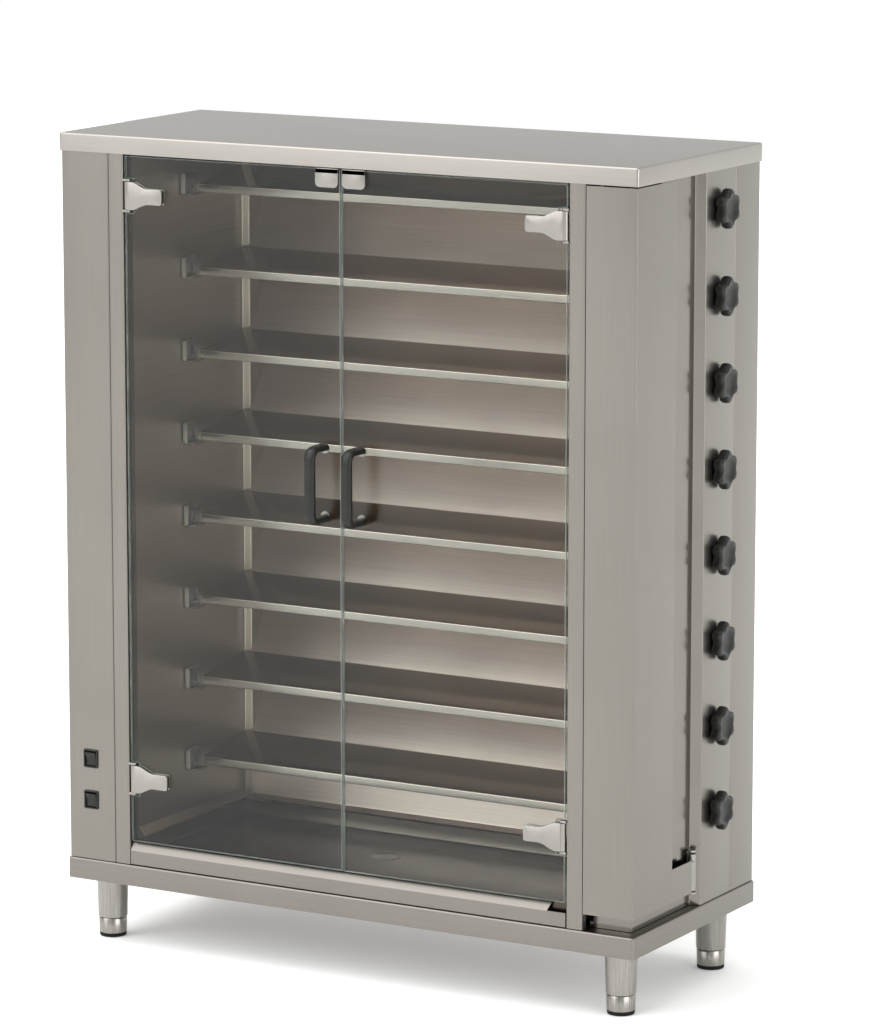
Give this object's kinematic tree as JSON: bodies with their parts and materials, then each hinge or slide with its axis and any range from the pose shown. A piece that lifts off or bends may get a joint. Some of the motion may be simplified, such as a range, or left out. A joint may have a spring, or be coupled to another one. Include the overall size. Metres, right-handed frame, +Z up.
{
  "type": "vertical rotisserie broiler",
  "caption": "Tall stainless gas rotisserie cabinet on legs, with paired glass doors, stacked burner hoods, driven spit couplings, side knobs and a pull-out drip tray.",
  "frame": {"origin": "centre of the bounding box in plan, on the floor under the feet", "axes": "+Z up, front doors face -Y, knobs on the +X side"},
  "size_m": [1.175, 0.532, 1.47],
  "materials": {
    "satin_stainless": "fine vertical brush, satin",
    "liner_stainless": "bright cold-rolled sheet, light heat tint",
    "mirror_stainless": "bright annealed, near mirror",
    "fitting_stainless": "brushed castings and turnings",
    "tempered_glass": "clear float glass, polished edges",
    "black_phenolic": "moulded phenolic, satin",
    "brass_and_steel_gas": "machined, dull",
    "cast_drive": "cast and oiled steel"
  },
  "bodies": {
    "cabinet": {"top_cover": "satin_stainless", "base_plinth": "satin_stainless", "left_casing": "satin_stainless", "left_post": "satin_stainless", "right_post": "satin_stainless", "left_wall": "liner_stainless", "right_wall": "liner_stainless", "rear_lower_panel": "mirror_stainless", "control_panel": "satin_stainless", "rear_side_panel": "satin_stainless", "rear_panel": "satin_stainless", "cable_gland": "black_phenolic", "burner_rack": "brass_and_steel_gas", "gearmotor": "cast_drive", "drive_chain": "cast_drive", "hood_1": "mirror_stainless", "hood_2": "mirror_stainless", "hood_3": "mirror_stainless", "hood_4": "mirror_stainless", "hood_5": "mirror_stainless", "hood_6": "mirror_stainless", "hood_7": "mirror_stainless", "hood_8": "mirror_stainless", "switch_housing_1": "black_phenolic", "switch_housing_2": "black_phenolic"},
    "left_door": {"left_glass": "tempered_glass", "left_handle": "black_phenolic", "left_lower_clamp": "fitting_stainless", "left_upper_clamp": "fitting_stainless", "left_catch": "fitting_stainless"},
    "right_door": {"right_glass": "tempered_glass", "right_handle": "black_phenolic", "right_lower_clamp": "fitting_stainless", "right_upper_clamp": "fitting_stainless", "right_catch": "fitting_stainless"},
    "side_cover": {"right_cover": "satin_stainless"},
    "tray": {"drip_tray": "mirror_stainless"},
    "drive": {"motor_sprocket": "cast_drive"},
    "spit_1": {"spit_drive_1": "liner_stainless"},
    "spit_2": {"spit_drive_2": "liner_stainless"},
    "spit_3": {"spit_drive_3": "liner_stainless"},
    "spit_4": {"spit_drive_4": "liner_stainless"},
    "spit_5": {"spit_drive_5": "liner_stainless"},
    "spit_6": {"spit_drive_6": "liner_stainless"},
    "spit_7": {"spit_drive_7": "liner_stainless"},
    "spit_8": {"spit_drive_8": "liner_stainless"},
    "control_1": {"knob_1": "black_phenolic"},
    "control_2": {"knob_2": "black_phenolic"},
    "control_3": {"knob_3": "black_phenolic"},
    "control_4": {"knob_4": "black_phenolic"},
    "control_5": {"knob_5": "black_phenolic"},
    "control_6": {"knob_6": "black_phenolic"},
    "control_7": {"knob_7": "black_phenolic"},
    "control_8": {"knob_8": "black_phenolic"},
    "rocker_key_1": {"rocker_1": "black_phenolic"},
    "rocker_key_2": {"rocker_2": "black_phenolic"},
    "levelling_1": {"foot_1": "fitting_stainless"},
    "levelling_2": {"foot_2": "fitting_stainless"},
    "levelling_3": {"foot_3": "fitting_stainless"},
    "levelling_4": {"foot_4": "fitting_stainless"}
  },
  "joints": [
    {"name": "left_door_hinge", "type": "hinge", "parent": "cabinet", "child": "left_door", "pos_m": [-0.4465, -0.213, 0.753], "axis": [0, 0, 1], "range_deg": [-100, 0]},
    {"name": "right_door_hinge", "type": "hinge", "parent": "cabinet", "child": "right_door", "pos_m": [0.4275, -0.213, 0.753], "axis": [0, 0, 1], "range_deg": [0, 100]},
    {"name": "side_cover_hinge", "type": "hinge", "parent": "cabinet", "child": "side_cover", "pos_m": [0.5565, 0.021, 0.213], "axis": [0, 0, 1], "range_deg": [0, 90]},
    {"name": "tray_slide", "type": "slide", "parent": "cabinet", "child": "tray", "axis": [0, -1, 0], "range_m": [0, 0.34]},
    {"name": "drive_spin", "type": "hinge", "parent": "cabinet", "child": "drive", "pos_m": [-0.4975, -0.012, 0.211], "axis": [1, 0, 0], "continuous": true},
    {"name": "spit_spin_1", "type": "hinge", "parent": "cabinet", "child": "spit_1", "pos_m": [-0.4755, -0.012, 1.367], "axis": [1, 0, 0], "continuous": true},
    {"name": "spit_spin_2", "type": "hinge", "parent": "cabinet", "child": "spit_2", "pos_m": [-0.4755, -0.012, 1.216], "axis": [1, 0, 0], "continuous": true},
    {"name": "spit_spin_3", "type": "hinge", "parent": "cabinet", "child": "spit_3", "pos_m": [-0.4755, -0.012, 1.065], "axis": [1, 0, 0], "continuous": true},
    {"name": "spit_spin_4", "type": "hinge", "parent": "cabinet", "child": "spit_4", "pos_m": [-0.4755, -0.012, 0.914], "axis": [1, 0, 0], "continuous": true},
    {"name": "spit_spin_5", "type": "hinge", "parent": "cabinet", "child": "spit_5", "pos_m": [-0.4755, -0.012, 0.763], "axis": [1, 0, 0], "continuous": true},
    {"name": "spit_spin_6", "type": "hinge", "parent": "cabinet", "child": "spit_6", "pos_m": [-0.4755, -0.012, 0.612], "axis": [1, 0, 0], "continuous": true},
    {"name": "spit_spin_7", "type": "hinge", "parent": "cabinet", "child": "spit_7", "pos_m": [-0.4755, -0.012, 0.461], "axis": [1, 0, 0], "continuous": true},
    {"name": "spit_spin_8", "type": "hinge", "parent": "cabinet", "child": "spit_8", "pos_m": [-0.4755, -0.012, 0.31], "axis": [1, 0, 0], "continuous": true},
    {"name": "knob_turn_1", "type": "hinge", "parent": "cabinet", "child": "control_1", "pos_m": [0.5755, 0.093, 1.371], "axis": [1, 0, 0], "range_deg": [0, 210]},
    {"name": "knob_turn_2", "type": "hinge", "parent": "cabinet", "child": "control_2", "pos_m": [0.5755, 0.093, 1.22], "axis": [1, 0, 0], "range_deg": [0, 210]},
    {"name": "knob_turn_3", "type": "hinge", "parent": "cabinet", "child": "control_3", "pos_m": [0.5755, 0.093, 1.069], "axis": [1, 0, 0], "range_deg": [0, 210]},
    {"name": "knob_turn_4", "type": "hinge", "parent": "cabinet", "child": "control_4", "pos_m": [0.5755, 0.093, 0.918], "axis": [1, 0, 0], "range_deg": [0, 210]},
    {"name": "knob_turn_5", "type": "hinge", "parent": "cabinet", "child": "control_5", "pos_m": [0.5755, 0.093, 0.767], "axis": [1, 0, 0], "range_deg": [0, 210]},
    {"name": "knob_turn_6", "type": "hinge", "parent": "cabinet", "child": "control_6", "pos_m": [0.5755, 0.093, 0.616], "axis": [1, 0, 0], "range_deg": [0, 210]},
    {"name": "knob_turn_7", "type": "hinge", "parent": "cabinet", "child": "control_7", "pos_m": [0.5755, 0.093, 0.465], "axis": [1, 0, 0], "range_deg": [0, 210]},
    {"name": "knob_turn_8", "type": "hinge", "parent": "cabinet", "child": "control_8", "pos_m": [0.5755, 0.093, 0.314], "axis": [1, 0, 0], "range_deg": [0, 210]},
    {"name": "rocker_tilt_1", "type": "hinge", "parent": "cabinet", "child": "rocker_key_1", "pos_m": [-0.5375, -0.2145, 0.264], "axis": [1, 0, 0], "range_deg": [-20, 0]},
    {"name": "rocker_tilt_2", "type": "hinge", "parent": "cabinet", "child": "rocker_key_2", "pos_m": [-0.5375, -0.2145, 0.34], "axis": [1, 0, 0], "range_deg": [-20, 0]},
    {"name": "foot_screw_1", "type": "slide", "parent": "cabinet", "child": "levelling_1", "axis": [0, 0, -1], "range_m": [0, 0.025]},
    {"name": "foot_screw_2", "type": "slide", "parent": "cabinet", "child": "levelling_2", "axis": [0, 0, -1], "range_m": [0, 0.025]},
    {"name": "foot_screw_3", "type": "slide", "parent": "cabinet", "child": "levelling_3", "axis": [0, 0, -1], "range_m": [0, 0.025]},
    {"name": "foot_screw_4", "type": "slide", "parent": "cabinet", "child": "levelling_4", "axis": [0, 0, -1], "range_m": [0, 0.025]}
  ],
  "couplings": [
    {"joint": "spit_spin_1", "follows": "drive_spin", "ratio": 1},
    {"joint": "spit_spin_2", "follows": "drive_spin", "ratio": 1},
    {"joint": "spit_spin_3", "follows": "drive_spin", "ratio": 1},
    {"joint": "spit_spin_4", "follows": "drive_spin", "ratio": 1},
    {"joint": "spit_spin_5", "follows": "drive_spin", "ratio": 1},
    {"joint": "spit_spin_6", "follows": "drive_spin", "ratio": 1},
    {"joint": "spit_spin_7", "follows": "drive_spin", "ratio": 1},
    {"joint": "spit_spin_8", "follows": "drive_spin", "ratio": 1}
  ]
}
